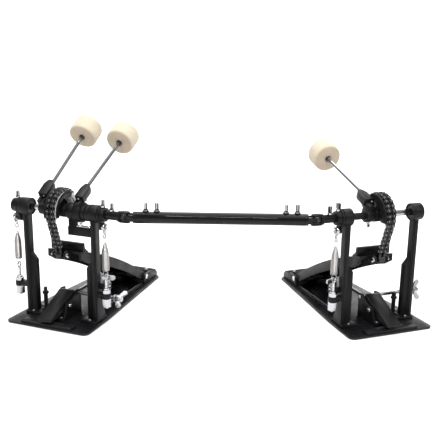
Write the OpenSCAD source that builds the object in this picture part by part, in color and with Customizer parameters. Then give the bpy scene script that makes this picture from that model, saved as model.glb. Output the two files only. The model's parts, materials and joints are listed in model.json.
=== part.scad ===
// Double bass drum pedal: a main pedal with two beaters, an auxiliary pedal with
// one beater, and a telescoping link shaft with a universal joint at each end.
// Each pedal is drawn in its own frame: x across, y towards the heel, z up, with
// the origin on the floor below the middle of its axle. The drum is on the -y side.

/* [Layout] */
// Distance of each pedal from the middle of the pair
pedal_x = 252; // [240:1:270]
// Angle by which each heel turns towards the other pedal
yaw = 21; // [16:1:24]
// Distance of each universal joint from its pedal's middle, along the axle
joint_x = 116.3; // [112:0.1:120]

/* [Base plate] */
// Width of the base plate at its front edge
base_front_w = 152; // [145:1:160]
// Width of the base plate at its heel edge
base_heel_w = 112; // [98:1:116]
// Distance from the axle forward to the front edge
base_front_y = 52; // [48:1:60]
// Distance from the axle back to the heel edge
base_heel_y = 251; // [246:1:262]
// Distance by which the plate's middle lies outboard of the axle's middle
base_shift = 6; // [0:0.5:7]
// Plate thickness
plate_t = 3; // [2.5:0.5:4]
// Corner radius of the plate
corner_r = 10; // [6:1:14]

/* [Posts and axle] */
// Height of the axle above the floor
axle_z = 184.3; // [178:0.1:190]
// Distance of the outer post from the pedal's middle
outer_post_x = 66; // [65:0.5:67]
// Distance of the inner post from the pedal's middle
inner_post_x = 59; // [58:0.5:60]
// Width of a post seen from the front
post_w = 9; // [8:0.5:10]
// Depth of a post from front to back
post_d = 13; // [11:1:16]
// Radius of the bearing housing on top of a post
head_r = 14; // [13.5:0.5:15]
// Radius of the main axle
axle_r = 5; // [4.5:0.5:5.5]
// Radius of the hollow shaft of the second beater
shaft_r = 7; // [6.5:0.5:7.5]

/* [Cam and chain] */
// Radius of the circle on which the chain pins lie
chain_r = 33; // [31:0.5:35]
// Distance from pin to pin
chain_pitch = 8; // [7.5:0.1:8.4]
// Number of links that stay wound on the cam
wound_links = 6; // [4:1:7]
// Radius of a chain pin
pin_r = 1.3; // [1.1:0.1:1.5]
// Height of a chain plate
plate_h = 6.8; // [6:0.1:7]

/* [Beaters] */
// Radius of a beater rod
rod_r = 2.8; // [2.5:0.1:3.2]
// Distance from the axle's centre line to a rod's centre line
rod_offset = 19.5; // [19:0.5:21]
// Radius of a felt head
felt_r = 24.5; // [21:0.5:26]
// Length of a felt head along its rod
felt_l = 33; // [28:1:36]
// Rod angle behind vertical, main beater
main_lean = 56; // [50:1:66]
// Rod angle behind vertical, second beater
second_lean = 62; // [52:1:66]
// Rod angle behind vertical, auxiliary beater
aux_lean = 73; // [60:1:74]

/* [Footboard] */
// Distance from the axle back to the hinge pin
hinge_y = 201; // [198:1:205]
// Height of the hinge pin
hinge_z = 16; // [15:0.5:18]
// Width of the footboard over most of its length
board_w = 80; // [76:1:84]
// Width of the footboard at its toe
toe_w = 62; // [61:1:72]
// Rise of the tread from the hinge to the toe
board_rise = 93; // [88:1:96]
// Tread thickness
board_t = 4.5; // [4:0.5:5]
// Depth of the side flanges below the tread
flange_h = 18; // [14:1:20]

/* [Springs] */
// Distance from the axle's centre line down to a rocker's spring pin
rocker_r = 20; // [19.5:0.5:21]
// Radius of a return spring
spring_r = 6; // [5.5:0.5:6.5]

/* [Link shaft] */
// Radius of the link tube
tube_r = 9.25; // [8.5:0.25:9.5]
// Radius of the shafts that slide in the tube
link_shaft_r = 6; // [5.5:0.5:6]

/* [Hidden] */
$fn = 48;

black = "#242427";
dark = "#1a1a1c";
chrome = "#c8c8cc";
spring_grey = "#9a9a9c";
felt = "#efe6d2";
rubber = "#151516";

run = 0.04;                      // radial clearance of a running fit
loose = 0.35;                    // radial clearance of the cross in the axle forks

// Bearing housings, as distances from the pedal's middle
head_inner = [53.5, 69];
head_outer = [57, 75];
bearing_r = 11;
// Rockers, outside the housings: length, lobe thickness and key bolt's distance
rocker_inner = [11, 3.5, 5.5];
rocker_outer = [15, 7, 8];
sleeve_x = head_inner[1] + rocker_inner[0];
outer_spring_x = head_outer[1] + 13;
inner_spring_x = head_inner[1] + 7.5;
// Spur screws stand this far inboard of a post, and this far behind the axle
spur_from_post = 19;
spur_y = 12;

// Base plate corners, right half, and the depth of the pair
front_c = [base_front_w / 2 - corner_r, corner_r - base_front_y];
heel_c = [base_heel_w / 2 - corner_r, base_heel_y - corner_r];
flank_c = [base_front_w / 2 - corner_r - 2, 20];
low_y = (base_shift - front_c[0]) * sin(yaw) + front_c[1] * cos(yaw) - corner_r;
high_y = (base_shift + heel_c[0]) * sin(yaw) + heel_c[1] * cos(yaw) + corner_r;
pair_y = -(low_y + high_y) / 2;

// Chain: the toe bolt, the tangent from it to the pin circle, and the pins
toe_bolt = [-10, 113];
toe_bolt_r = 2;
toe_rel = toe_bolt - [0, axle_z];
tangent_a = atan2(toe_rel[1], toe_rel[0]) - acos(chain_r / norm(toe_rel));
link_a = 2 * asin(chain_pitch / 2 / chain_r);
upper_links = 3;
middle_links = 2;
free_links = upper_links + middle_links;
run_links = 6;
function wound_pin(k) = [0, axle_z] + chain_r * [cos(tangent_a - k * link_a), sin(tangent_a - k * link_a)];
run_dir = (toe_bolt - wound_pin(0)) / norm(toe_bolt - wound_pin(0));
function run_pin(k) = wound_pin(0) + k * chain_pitch * run_dir;

// Tread height over the footboard's length
board_toe_y = 1.5;
board_len = hinge_y - board_toe_y;
board_z0 = hinge_z + 8;
function board_u(y) = (hinge_y - y) / board_len;
function board_z(y) = board_z0 + board_rise * board_u(y) * (1.35 - 0.35 * board_u(y));
board_steps = 22;
board_ys = [for (i = [0:board_steps]) hinge_y - 3 - i * (board_len - 3) / board_steps];

// Beater rods, measured along the rod from the foot of the axle's perpendicular
rod_start = 5;
main_rod_x = -29;
second_rod_x = 32.5;
aux_rod_x = -15.2;
main_felt_s = 149;
second_felt_s = 158;
aux_felt_s = 160;
clamp_t = 12;
clamp_s = [8, 39];

// Spring and its fittings, as heights
spring_bot = 92;
spring_top = 137;
hook_r = 1.15;
eye_z = 82.5;
eye_mean_r = 4;
low_loop_z = 87.8;
low_loop_r = 4.2;
top_loop_z = 143.4;
top_loop_r = 4.8;
small_ring_z = 149.4;
small_ring_r = 4;
big_ring_r = 5.6;
spring_pin_r = 2.4;
spring_bracket = [47, 55];

// Hoop clamp
jaw_x = -7;
jaw_w = 25;
jaw_pivot = [-4, 25];
pad_z = 7;
screw_y = 25.5;
screw_z = 38;

module main_side() translate([-pedal_x, pair_y, 0]) rotate([0, 0, -yaw]) children();
module aux_side() translate([pedal_x, pair_y, 0]) rotate([0, 0, yaw]) children();
module flip_x(on) mirror([on ? 1 : 0, 0, 0]) children();

// Extrudes a y-z outline from x0 to x1
module along_x(x0, x1) translate([x0, 0, 0]) rotate([90, 0, 90]) linear_extrude(x1 - x0) children();
module rod_x(x0, x1, r, y = 0, z = 0) translate([x0, y, z]) rotate([0, 90, 0]) cylinder(r = r, h = x1 - x0);
module axle_rod(x0, x1, r) rod_x(x0, x1, r, 0, axle_z);
module ring(r, wire) rotate_extrude() translate([r, 0]) circle(wire, $fn = 20);
// A frame whose z runs along a rod that leans back by a degrees
module rod_frame(x, a) translate([x, 0, axle_z]) rotate([-a, 0, 0]) translate([0, -rod_offset, 0]) children();

// Square key-head bolt, seated at z = 0 and pointing down
module key_bolt(stem = 6, head_h = 9) {
    translate([0, 0, -stem]) cylinder(r = 2.2, h = stem + 2);
    cylinder(r = 3.8, h = 2);
    translate([-2.3, -2.3, 2]) cube([4.6, 4.6, head_h]);
}

// ---------------------------------------------------------------- base and posts
module base_plate() {
    corners = [front_c, flank_c, heel_c];
    color(dark) translate([-base_shift, 0, 0]) {
        linear_extrude(plate_t)
            hull()
                for (c = corners, s = [-1, 1])
                    translate([s * c[0], c[1]]) circle(corner_r, $fn = 32);
        for (s = [-1, 1])
            translate([s * 44 - 3, 58, plate_t]) cube([6, 132, 2]);
    }
}

module heel_plate() {
    block_y = 221.5;
    half = board_w / 2;
    color(black) difference() {
        union() {
            along_x(-half - 4, half + 4)
                polygon([[block_y, plate_t], [base_heel_y - 3, plate_t], [base_heel_y - 3, 11],
                         [base_heel_y - 11, 19], [block_y, 19]]);
            rod_x(-13.5, 13.5, 8, hinge_y, hinge_z);
            translate([-13.5, hinge_y, hinge_z - 6]) cube([27, block_y - hinge_y + 1, 9]);
            for (s = [-1, 1])
                translate([s * (half + 2.4) - 1.6, hinge_y - 6, plate_t])
                    cube([3.2, block_y - hinge_y + 7, hinge_z + 2]);
        }
        rod_x(-half - 5, half + 5, 3, hinge_y, hinge_z);
    }
}

module hinge_pin() {
    half = board_w / 2 + 5;
    color(chrome) {
        rod_x(-half, half, 3, hinge_y, hinge_z);
        for (s = [-1, 1])
            rod_x(s * (half + 0.5) - 0.5, s * (half + 0.5) + 0.5, 4.5, hinge_y, hinge_z);
    }
}

// Post on the +x side at x, with an optional bracket for a spring's eye bolt
module post(x, head, spring_x = 0) {
    x0 = x - post_w / 2;
    x1 = x + post_w / 2;
    step_x = x0 - 9.5;
    foot_x = x - spur_from_post - 6;
    color(black) difference() {
        union() {
            translate([x0, -post_d / 2, plate_t]) cube([post_w, post_d, axle_z - 10]);
            translate([x - 2, -post_d / 2 - 1.2, 12]) cube([4, 2, axle_z - 28]);
            translate([0, 5.5, 0]) rotate([90, 0, 0]) linear_extrude(11)
                polygon([[x0 + 1, 108], [step_x, 95], [step_x, plate_t], [x0 + 1, plate_t]]);
            translate([foot_x, -12, plate_t]) cube([x1 - foot_x, 34, 5]);
            along_x(x - 3.5, x + 3.5)
                polygon([[5, 6], [20, 6], [20, 12], [7, 42], [5, 42]]);
            axle_rod(head[0], head[1], head_r);
            if (spring_x > 0) {
                translate([x1 - 1, -5, spring_bracket[0]])
                    cube([spring_x - x1 + 1, 10, spring_bracket[1] - spring_bracket[0]]);
                translate([spring_x, 0, spring_bracket[0]])
                    cylinder(r = 7.5, h = spring_bracket[1] - spring_bracket[0]);
            }
        }
        axle_rod(head[0] - 1, head[1] + 1, bearing_r);
        if (spring_x > 0)
            translate([spring_x, 0, spring_bracket[0] - 1]) cylinder(r = 2.2, h = 12);
        translate([x - spur_from_post, spur_y, plate_t - 1]) cylinder(r = 3.5, h = 9);
    }
}

// Bearing pressed in a housing on the +x side
module bearing(head, bore) {
    color(chrome) difference() {
        axle_rod(head[0] + 1, head[1] - 1, bearing_r);
        axle_rod(head[0], head[1], bore + run);
    }
}

// Eye bolt with its two nuts, below a spring
module eye_bolt(x) {
    color(chrome) translate([x, 0, 0]) {
        translate([0, 0, 30]) cylinder(r = 2.2, h = eye_z - eye_mean_r - 30);
        translate([0, 0, spring_bracket[1]]) cylinder(r = 6.4, h = 8.5);
        translate([0, 0, 32]) cylinder(r = 7, h = spring_bracket[0] - 32);
        translate([0, 0, eye_z]) rotate([0, 90, 0]) ring(eye_mean_r, 1.2);
    }
}

// Spur screw that stands in the foot of a post
module spur_screw(post_x) {
    color(dark) translate([post_x - spur_from_post, spur_y, 0]) {
        translate([0, 0, plate_t]) cylinder(r = 3.5, h = 33);
        translate([0, 0, 34]) cylinder(r = 5, h = 3);
        translate([-2.7, -2.7, 37]) cube([5.4, 5.4, 7]);
    }
}

// ---------------------------------------------------------------- footboard
// Outline of the footboard from above, drawn in by a margin at its sides
module board_plan(margin) {
    toe = toe_w / 2 - margin;
    half = board_w / 2 - margin;
    linear_extrude(140)
        polygon([[-toe, -30], [toe, -30], [toe, 26], [half, 75], [half, 220],
                 [-half, 220], [-half, 75], [-toe, 26]]);
}

module footboard() {
    half = board_w / 2;
    flange_t = 3.5;
    top = [for (y = board_ys) [y, board_z(y)]];
    tread = concat(top, [for (i = [board_steps:-1:0]) [board_ys[i], board_z(board_ys[i]) - board_t]]);
    flange = concat(top, [for (i = [board_steps:-1:1])
        [board_ys[i], board_z(board_ys[i]) - flange_h * min(1, (board_steps - i) * 0.15 + 0.7)]]);
    color(black) difference() {
        union() {
            intersection() {
                along_x(-half, half) polygon(tread);
                board_plan(0);
            }
            intersection() {
                along_x(-half, half) polygon(flange);
                difference() {
                    board_plan(0);
                    board_plan(flange_t);
                }
            }
            for (s = [-1, 1]) {
                rod_x(s * 27 - 12.5, s * 27 + 12.5, 8, hinge_y, hinge_z);
                translate([s * 27 - 12.5, hinge_y - 20, hinge_z + 1]) cube([25, 18, 6]);
                along_x(s * 10.5 - 1.5, s * 10.5 + 1.5)
                    polygon([[4, 115], [-6, 119], [-14, 118], [-16, 111], [-12, 107], [-4, 105], [6, 108]]);
            }
        }
        rod_x(-half - 1, half + 1, 3 + run, hinge_y, hinge_z);
        rod_x(-14, 14, 9, hinge_y, hinge_z);
        rod_x(-half, half, toe_bolt_r, toe_bolt[0], toe_bolt[1]);
    }
    color(chrome) {
        rod_x(-12.5, 12.5, toe_bolt_r, toe_bolt[0], toe_bolt[1]);
        for (s = [-1, 1])
            rod_x(s * 13.25 - 1.25, s * 13.25 + 1.25, 3.6, toe_bolt[0], toe_bolt[1]);
    }
}

// Raised plate across the tread that stops the toe
module toe_stop() {
    gap = 0.4;
    stop_top = 129;
    color(black) difference() {
        along_x(-30, 30)
            polygon([[10, board_z(10) + gap], [26, board_z(26) + gap], [26, board_z(26) + 3],
                     [17, board_z(10) + 5], [15, stop_top], [10, stop_top]]);
        along_x(-15, 15)
            polygon([[9, board_z(10) + 3], [12.5, board_z(10) + 3], [12.5, stop_top - 4], [9, stop_top - 4]]);
    }
}

// ---------------------------------------------------------------- chain
// A pin link when outer is true, otherwise a bush link, lying along +y
module chain_link(len, outer) {
    xs = outer ? [1.6, 6.4] : [2.9, 5.1];
    difference() {
        union() {
            for (s = [-1, 1], x = xs, y = [0, len])
                rod_x(s * x - 0.6, s * x + 0.6, plate_h / 2, y);
            for (s = [-1, 1], x = xs)
                translate([s * x - 0.6, 0, -plate_h / 2 + 0.8]) cube([1.2, len, plate_h - 1.6]);
            for (y = [0, len])
                if (outer)
                    rod_x(-7.6, 7.6, pin_r, y);
                else
                    for (s = [-1, 1]) rod_x(s * 4 - 1.6, s * 4 + 1.6, 2.4, y);
        }
        if (!outer)
            for (y = [0, len]) rod_x(-9, 9, pin_r + run, y);
    }
}

module link_between(p, q, outer) {
    d = q - p;
    translate([0, p[0], p[1]]) rotate([atan2(d[1], d[0]), 0, 0]) chain_link(norm(d), outer);
}

module chain_wound_part(first, count) {
    color(dark)
        for (k = [first:first + count - 1])
            link_between(wound_pin(k), wound_pin(k + 1), k % 2 == 0);
}

module chain_run() {
    last = run_pin(run_links);
    d = toe_bolt - last;
    color(dark) {
        for (k = [0:run_links - 1])
            link_between(run_pin(k), run_pin(k + 1), k % 2 == 1);
        difference() {
            translate([0, last[0], last[1]]) rotate([atan2(d[1], d[0]), 0, 0]) union() {
                for (s = [-1, 1]) {
                    rod_x(s * 4 - 1.4, s * 4 + 1.4, plate_h / 2, 0);
                    translate([s * 4 - 1.4, 0, -plate_h / 2]) cube([2.8, norm(d), plate_h]);
                }
                rod_x(-5.4, 5.4, 6.3, norm(d));
            }
            rod_x(-9, 9, 4.5, toe_bolt[0], toe_bolt[1]);
            rod_x(-9, 9, pin_r, last[0], last[1]);
        }
    }
}

// ---------------------------------------------------------------- cam and axle parts
module cam() {
    rim_r = chain_r - plate_h / 2 - 0.6;
    dish_r = rim_r - 6;
    cheek_r = 34;
    hole_ring = 17;
    chord_h = 7;
    color(black) difference() {
        union() {
            difference() {
                union() {
                    axle_rod(-9, 9, rim_r);
                    axle_rod(8.5, 10, rim_r + 1.4);
                    axle_rod(-11.4, -8.5, cheek_r);
                }
                axle_rod(-4, 11, dish_r);
                translate([-13, -cheek_r - 1, axle_z - chord_h - 60])
                    cube([26, 2 * cheek_r + 2, 60]);
            }
            axle_rod(-12.5, 12, 11);
        }
        axle_rod(-13, 13, axle_r);
        for (a = [20:60:320])
            translate([0, 0, axle_z]) rotate([a, 0, 0]) rod_x(-13, 0, 4, hole_ring);
    }
}

module main_axle_part() {
    color(chrome) axle_rod(-head_outer[1] - rocker_outer[0] - 2, 42, axle_r);
}

// Axle fork of a universal joint on the +x side: ears above and below the cross
module axle_fork() {
    ear_in = 5.2;
    ear_t = 3.4;
    base_x = joint_x - 13;
    difference() {
        union() {
            axle_rod(sleeve_x, base_x, 6.75);
            axle_rod(base_x - 1, joint_x - 9.5, ear_in + ear_t);
            for (s = [-1, 1]) {
                translate([joint_x - 11, -5, axle_z + s * (ear_in + ear_t / 2) - ear_t / 2])
                    cube([11, 10, ear_t]);
                translate([joint_x, 0, axle_z + s * (ear_in + ear_t / 2) - ear_t / 2])
                    cylinder(r = 5, h = ear_t);
            }
        }
        translate([joint_x, 0, axle_z - 10]) cylinder(r = 2.1 + loose, h = 20);
    }
    translate([sleeve_x + 10, 0, axle_z + 8]) key_bolt(4, 9);
}

module aux_axle_part() {
    color(chrome) axle_rod(-sleeve_x, head_outer[1] - 2, axle_r);
    color(black) flip_x(true) axle_fork();
}

// Clamp block for a beater rod; the rod's bore is at x = 0, the block spans x0 to x1
module beater_clamp(x, a, x0, x1, bore, ring_r) {
    mid = (x0 + x1) / 2;
    shoulder = clamp_s[1] - 9;
    color(black) difference() {
        union() {
            rod_frame(x, a) {
                translate([0, clamp_t / 2, 0]) rotate([90, 0, 0]) linear_extrude(clamp_t)
                    polygon([[x0, clamp_s[0]], [x1, clamp_s[0]], [x1, shoulder],
                             [mid + 4, clamp_s[1]], [mid - 4, clamp_s[1]], [x0, shoulder]]);
                translate([x0 + 2, 0, clamp_s[0] - 12]) cube([x1 - x0 - 4, rod_offset, 16]);
            }
            translate([x, 0, 0]) axle_rod(x0 + 1, x1 - 1, ring_r);
        }
        axle_rod(-60, 60, bore);
        rod_frame(x, a) translate([0, 0, -20]) cylinder(r = rod_r + run, h = 80);
    }
}

module beater_rod(x, a, felt_s) {
    color(chrome) rod_frame(x, a) {
        translate([0, 0, rod_start]) cylinder(r = rod_r, h = felt_s - rod_start + 20);
        translate([0, 0, felt_s - 4]) cylinder(r = 4, h = 4);
    }
}

module beater_felt(x, a, felt_s) {
    color(felt) rod_frame(x, a) difference() {
        translate([0, 0, felt_s]) rotate_extrude()
            polygon(concat([[0, 0], [felt_r - 1, 0], [felt_r, 1.5]],
                [for (t = [0:15:90]) [felt_r - 5 + 5 * cos(t), felt_l - 5 + 5 * sin(t)]], [[0, felt_l]]));
        translate([0, 0, felt_s - 1]) cylinder(r = rod_r, h = 21);
    }
}

// Rocker on the +x side of a housing that ends at x: hub, hanging lobe and spring pin
module rocker(x, size, spring_x, bore) {
    hub_r = 13;
    lobe_r = 5.5;
    pin_z = axle_z - rocker_r;
    color(black) difference() {
        union() {
            axle_rod(x + 0.3, x + size[1], hub_r);
            axle_rod(x + 0.3, x + size[0], 11);
            translate([x + size[2], 0, axle_z]) cylinder(r = 3.5, h = hub_r - 0.4);
            along_x(x + 0.3, x + size[1])
                polygon([[-hub_r, axle_z], [hub_r, axle_z], [lobe_r, pin_z], [-lobe_r, pin_z]]);
            rod_x(x + 0.3, x + size[1], lobe_r, 0, pin_z);
        }
        axle_rod(x - 1, x + size[0] + 1, bore);
        rod_x(x, x + size[1] + 1, spring_pin_r, 0, pin_z);
    }
    color(chrome) {
        rod_x(x + 0.3, spring_x + 3, spring_pin_r, 0, pin_z);
        rod_x(spring_x + 2.4, spring_x + 4.2, 4.2, 0, pin_z);
        translate([x + size[2], 0, axle_z + 12]) key_bolt(3, 9);
    }
}

module spring(x) {
    body = 16;
    color(spring_grey) translate([x, 0, 0]) {
        translate([0, 0, spring_bot]) rotate_extrude()
            polygon([[3.2, 0], [spring_r, 1], [spring_r, spring_top - spring_bot - body],
                     [3.6, spring_top - spring_bot], [2.2, spring_top - spring_bot],
                     [spring_r - 2, spring_top - spring_bot - body], [spring_r - 2, 2.5], [3.2, 2]]);
        translate([0, 0, low_loop_z]) rotate([90, 0, 0]) ring(low_loop_r, hook_r);
        translate([0, 0, top_loop_z]) rotate([90, 0, 0]) ring(top_loop_r, hook_r);
    }
}

module spring_link(x) {
    big_z = axle_z - rocker_r;
    shank_top = big_z - big_ring_r;
    color(chrome) translate([x, 0, 0]) {
        translate([0, 0, big_z]) rotate([0, 90, 0]) ring(big_ring_r, 1.2);
        translate([0, 0, small_ring_z + small_ring_r])
            cylinder(r = 1.5, h = shank_top - small_ring_z - small_ring_r);
        translate([0, 0, small_ring_z]) rotate([0, 90, 0]) ring(small_ring_r, 1.2);
    }
}

// ---------------------------------------------------------------- second beater hub
module second_hub_part() {
    hub_x = 13.2;
    weight_end = head_inner[0] - 2;
    color(black) difference() {
        union() {
            axle_rod(hub_x, head_inner[0] - 0.5, 9.5);
            axle_rod(hub_x + 2, 26, 13.4);
            axle_rod(27, 35.5, 12.8);
            axle_rod(36.5, 46.8, 13.4);
            axle_rod(48, head_inner[0] - 0.6, 13.4);
            axle_rod(head_inner[0] - 1, joint_x - 12, shaft_r);
            translate([hub_x, -3, axle_z - 30]) cube([14, 6, 22]);
            translate([11.5, -3, axle_z - 39]) cube([weight_end - 11.5, 6, 14]);
        }
        axle_rod(hub_x - 1, 43, axle_r + run);
    }
    color(black) axle_fork();
    color(chrome) rod_x(26, weight_end, 2, 0, axle_z - 23.5);
}

// ---------------------------------------------------------------- link shaft
joint_world = [pedal_x - joint_x * cos(yaw), pair_y - joint_x * sin(yaw), axle_z];
collar_x = joint_world[0] - 14;

// Tube fork of the joint at +X: ears in front of and behind the cross, shaft inwards
module tube_fork(shaft_l) {
    ear_in = 5.2;
    ear_t = 3.4;
    translate(joint_world) {
        difference() {
            union() {
                for (s = [-1, 1]) {
                    translate([-11, s * (ear_in + ear_t / 2) - ear_t / 2, -5]) cube([11, ear_t, 10]);
                    translate([0, s * (ear_in + ear_t / 2) + ear_t / 2, 0])
                        rotate([90, 0, 0]) cylinder(r = 5, h = ear_t);
                }
                rod_x(-13.7, -9.5, 9.2);
            }
            translate([0, 12, 0]) rotate([90, 0, 0]) cylinder(r = 2.1 + run, h = 24);
        }
        rod_x(-13.6 - shaft_l, -13.6, link_shaft_r);
    }
}

module cross() {
    translate(joint_world) {
        translate([-4, -4, -4]) cube(8);
        translate([0, 0, -8.2]) cylinder(r = 2.1, h = 16.4);
        translate([0, 8.2, 0]) rotate([90, 0, 0]) cylinder(r = 2.1, h = 16.4);
    }
}

module tube_part() {
    bolts = [-collar_x + 15, -collar_x + 32, collar_x - 29.5, collar_x - 12];
    color(dark) translate([0, joint_world[1], axle_z]) {
        difference() {
            union() {
                rod_x(-collar_x, collar_x, tube_r);
                for (x = bolts)
                    translate([x, 0, 4]) cylinder(r = 5, h = 7);
            }
            rod_x(-collar_x - 1, collar_x + 1, link_shaft_r + run);
        }
        for (x = bolts)
            translate([x, 0, 11]) key_bolt(3.5, 10);
    }
}

// ---------------------------------------------------------------- hoop clamp
// Fixed part: rubber pad under the hoop, ears with the jaw's pivot pin, screw boss
module hoop_bracket() {
    ear_x = jaw_w / 2 + 0.8;
    color(black) translate([jaw_x, 0, 0]) difference() {
        union() {
            translate([-ear_x - 3, -22, plate_t]) cube([2 * ear_x + 6, 54, 5]);
            for (s = [-1, 1])
                along_x(s * (ear_x + 1.5) - 1.5, s * (ear_x + 1.5) + 1.5)
                    polygon([[-20, 4], [31.5, 4], [31.5, 43], [22, 44],
                             [jaw_pivot[0] + 7, 33], [jaw_pivot[0] - 7, 31]]);
        }
        rod_x(-ear_x - 4, ear_x + 4, 2.5, jaw_pivot[0], jaw_pivot[1]);
        rod_x(-ear_x - 4, ear_x + 4, 3 + run, screw_y, screw_z);
    }
    color(chrome) translate([jaw_x, 0, 0])
        rod_x(-ear_x - 4, ear_x + 4, 2.5, jaw_pivot[0], jaw_pivot[1]);
    color(rubber) translate([jaw_x, 0, 0])
        translate([-46, -base_front_y + 2, plate_t]) cube([92, 17, pad_z - plate_t]);
}

module hoop_jaw() {
    color(black) translate([jaw_x, 0, 0]) difference() {
        along_x(-jaw_w / 2, jaw_w / 2)
            polygon([[-base_front_y, 12.5], [-base_front_y, 16], [12, 45], [17, 45], [19, 41],
                     [19, 38], [4, 23], [-6, 18], [-30, 12.5]]);
        along_x(-jaw_w / 2 + 4, jaw_w / 2 - 4)
            polygon([[-26, 11], [14, 30], [18, 36], [14, 41], [-26, 22]]);
        rod_x(-jaw_w, jaw_w, 2.5 + run, jaw_pivot[0], jaw_pivot[1]);
    }
}

// Clamp screw on the +x side with its wing nut
module hoop_screw(jaw_mid, wing_x) {
    color(chrome) translate([0, screw_y, screw_z]) {
        rod_x(jaw_mid - jaw_w / 2 - 5, wing_x, 3);
        rod_x(wing_x - 1, wing_x + 7, 5.5);
        for (s = [-1, 1])
            translate([wing_x + 1, s * 9.5 - 5.5, -2]) cube([7, 11, 4]);
    }
}

// ---------------------------------------------------------------- placed parts

module main_base_plate() main_side() base_plate();
module main_heel_plate() main_side() heel_plate();
module main_post_left() main_side() flip_x(true) post(outer_post_x, head_outer, outer_spring_x);
module main_post_right() main_side() post(inner_post_x, head_inner, inner_spring_x);
module main_bearings() main_side() {
    flip_x(true) bearing(head_outer, axle_r);
    bearing(head_inner, shaft_r);
}
module main_hinge_pin() main_side() hinge_pin();
module main_footboard() main_side() footboard();
module main_toe_stop() main_side() toe_stop();
module main_axle() main_side() main_axle_part();
module main_cam() main_side() cam();
module main_chain_wound() main_side() chain_wound_part(free_links, wound_links);
module main_chain_upper() main_side() chain_wound_part(middle_links, upper_links);
module main_chain_middle() main_side() chain_wound_part(0, middle_links);
module main_chain_run() main_side() chain_run();
module main_beater_clamp() main_side() beater_clamp(main_rod_x, main_lean, -10, 6.5, axle_r, 10.5);
module main_beater_rod() main_side() beater_rod(main_rod_x, main_lean, main_felt_s);
module main_beater_felt() main_side() beater_felt(main_rod_x, main_lean, main_felt_s);
module main_rocker() main_side() flip_x(true)
    rocker(head_outer[1], rocker_outer, outer_spring_x, axle_r);
module main_spring() main_side() spring(-outer_spring_x);
module main_spring_link() main_side() spring_link(-outer_spring_x);
module main_screws() main_side() {
    eye_bolt(-outer_spring_x);
    eye_bolt(inner_spring_x);
    flip_x(true) spur_screw(outer_post_x);
    spur_screw(inner_post_x);
}
module main_hoop_bracket() main_side() hoop_bracket();
module main_hoop_jaw() main_side() hoop_jaw();
module main_hoop_screw() main_side() hoop_screw(jaw_x, 84);

module second_hub() main_side() second_hub_part();
module second_beater_clamp() main_side() beater_clamp(second_rod_x, second_lean, -5.5, 9, 13.4, 16);
module second_beater_rod() main_side() beater_rod(second_rod_x, second_lean, second_felt_s);
module second_beater_felt() main_side() beater_felt(second_rod_x, second_lean, second_felt_s);
module second_rocker() main_side() rocker(head_inner[1], rocker_inner, inner_spring_x, shaft_r);
module second_spring() main_side() spring(inner_spring_x);
module second_spring_link() main_side() spring_link(inner_spring_x);

module link_tube() tube_part();
module link_fork_main() color(dark) flip_x(true) tube_fork(50);
module link_fork_aux() color(dark) tube_fork(90);
module link_cross_main() color(dark) flip_x(true) cross();
module link_cross_aux() color(dark) cross();

module aux_base_plate() aux_side() flip_x(true) base_plate();
module aux_heel_plate() aux_side() heel_plate();
module aux_post_left() aux_side() flip_x(true) post(inner_post_x, head_inner, inner_spring_x);
module aux_post_right() aux_side() post(outer_post_x, head_outer);
module aux_bearings() aux_side() {
    flip_x(true) bearing(head_inner, axle_r);
    bearing(head_outer, axle_r);
}
module aux_hinge_pin() aux_side() hinge_pin();
module aux_footboard() aux_side() footboard();
module aux_toe_stop() aux_side() toe_stop();
module aux_axle() aux_side() aux_axle_part();
module aux_cam() aux_side() cam();
module aux_chain_wound() aux_side() chain_wound_part(free_links, wound_links);
module aux_chain_upper() aux_side() chain_wound_part(middle_links, upper_links);
module aux_chain_middle() aux_side() chain_wound_part(0, middle_links);
module aux_chain_run() aux_side() chain_run();
module aux_beater_clamp() aux_side() beater_clamp(aux_rod_x, aux_lean, -13.5, 2.6, axle_r, 10.5);
module aux_beater_rod() aux_side() beater_rod(aux_rod_x, aux_lean, aux_felt_s);
module aux_beater_felt() aux_side() beater_felt(aux_rod_x, aux_lean, aux_felt_s);
module aux_rocker() aux_side() flip_x(true) rocker(head_inner[1], rocker_inner, inner_spring_x, axle_r);
module aux_spring() aux_side() spring(-inner_spring_x);
module aux_spring_link() aux_side() spring_link(-inner_spring_x);
module aux_screws() aux_side() {
    eye_bolt(-inner_spring_x);
    spur_screw(outer_post_x);
    flip_x(true) spur_screw(inner_post_x);
}
module aux_hoop_bracket() aux_side() flip_x(true) hoop_bracket();
module aux_hoop_jaw() aux_side() flip_x(true) hoop_jaw();
module aux_hoop_screw() aux_side() hoop_screw(-jaw_x, 96);

main_base_plate();
main_heel_plate();
main_post_left();
main_post_right();
main_bearings();
main_hinge_pin();
main_footboard();
main_toe_stop();
main_axle();
main_cam();
main_chain_wound();
main_chain_upper();
main_chain_middle();
main_chain_run();
main_beater_clamp();
main_beater_rod();
main_beater_felt();
main_rocker();
main_spring();
main_spring_link();
main_screws();
main_hoop_bracket();
main_hoop_jaw();
main_hoop_screw();
second_hub();
second_beater_clamp();
second_beater_rod();
second_beater_felt();
second_rocker();
second_spring();
second_spring_link();
link_tube();
link_fork_main();
link_fork_aux();
link_cross_main();
link_cross_aux();
aux_base_plate();
aux_heel_plate();
aux_post_left();
aux_post_right();
aux_bearings();
aux_hinge_pin();
aux_footboard();
aux_toe_stop();
aux_axle();
aux_cam();
aux_chain_wound();
aux_chain_upper();
aux_chain_middle();
aux_chain_run();
aux_beater_clamp();
aux_beater_rod();
aux_beater_felt();
aux_rocker();
aux_spring();
aux_spring_link();
aux_screws();
aux_hoop_bracket();
aux_hoop_jaw();
aux_hoop_screw();
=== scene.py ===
import json
import math

import bmesh
import bpy
from mathutils import Matrix, Vector, noise


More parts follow.
